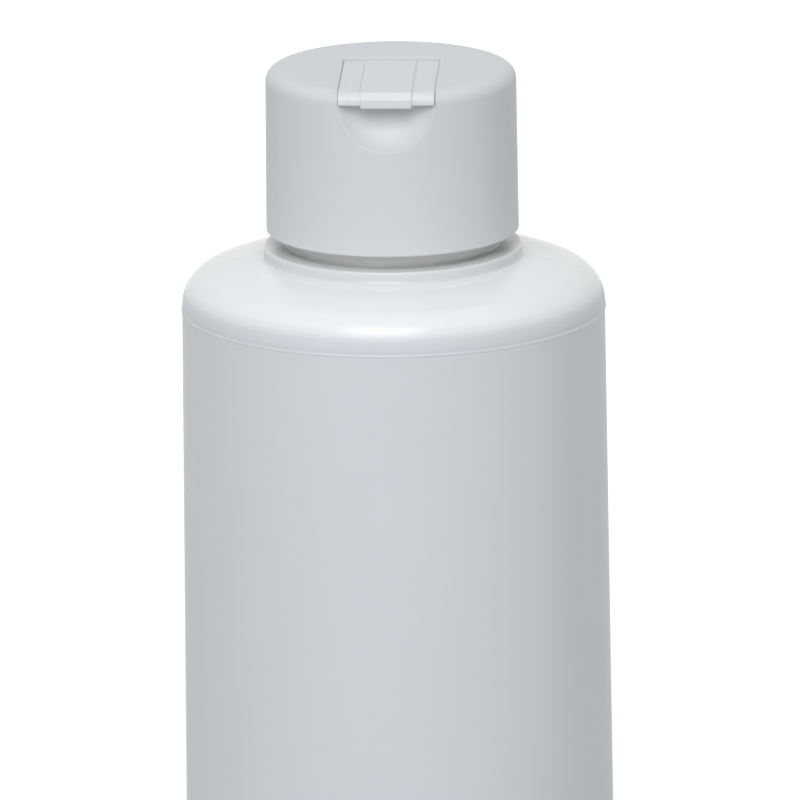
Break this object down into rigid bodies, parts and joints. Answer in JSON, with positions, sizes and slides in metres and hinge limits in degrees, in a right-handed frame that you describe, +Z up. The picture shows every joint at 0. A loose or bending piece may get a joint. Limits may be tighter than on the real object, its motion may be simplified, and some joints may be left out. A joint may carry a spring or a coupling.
{
  "type": "flip-spout bottle",
  "caption": "Cylindrical squeeze bottle with rounded shoulder and a screw cap whose flat spout flips up from a thumb scoop to pour.",
  "frame": {"origin": "middle of the standing base, on the surface that the bottle stands on", "axes": "+Z up along the bottle's axis, -Y towards the tip of the shut spout, +X to the right of someone facing the spout"},
  "size_m": [0.0575, 0.0574, 0.1437],
  "materials": {
    "bottle_plastic": "satin white, blow moulded",
    "liner_foam": "matt white foam sheet",
    "cap_plastic": "satin white, injection moulded",
    "spout_plastic": "satin white, injection moulded"
  },
  "bodies": {
    "bottle": {"bottle": "bottle_plastic"},
    "liner": {"liner": "liner_foam"},
    "cap": {"cap": "cap_plastic"},
    "spout": {"spout": "spout_plastic"}
  },
  "joints": [
    {"name": "cap_rise", "type": "slide", "parent": "bottle", "child": "liner", "axis": [0, 0, 1], "range_m": [0, 0.0212]},
    {"name": "cap_turn", "type": "hinge", "parent": "liner", "child": "cap", "pos_m": [0, 0, 0.1361], "axis": [0, 0, 1], "range_deg": [0, 1800]},
    {"name": "spout_flip", "type": "hinge", "parent": "cap", "child": "spout", "pos_m": [0, 0.0015, 0.1412], "axis": [-1, 0, 0], "range_deg": [0, 90]}
  ],
  "couplings": [
    {"joint": "cap_rise", "follows": "cap_turn", "m_per_rad": 0.00067375}
  ]
}
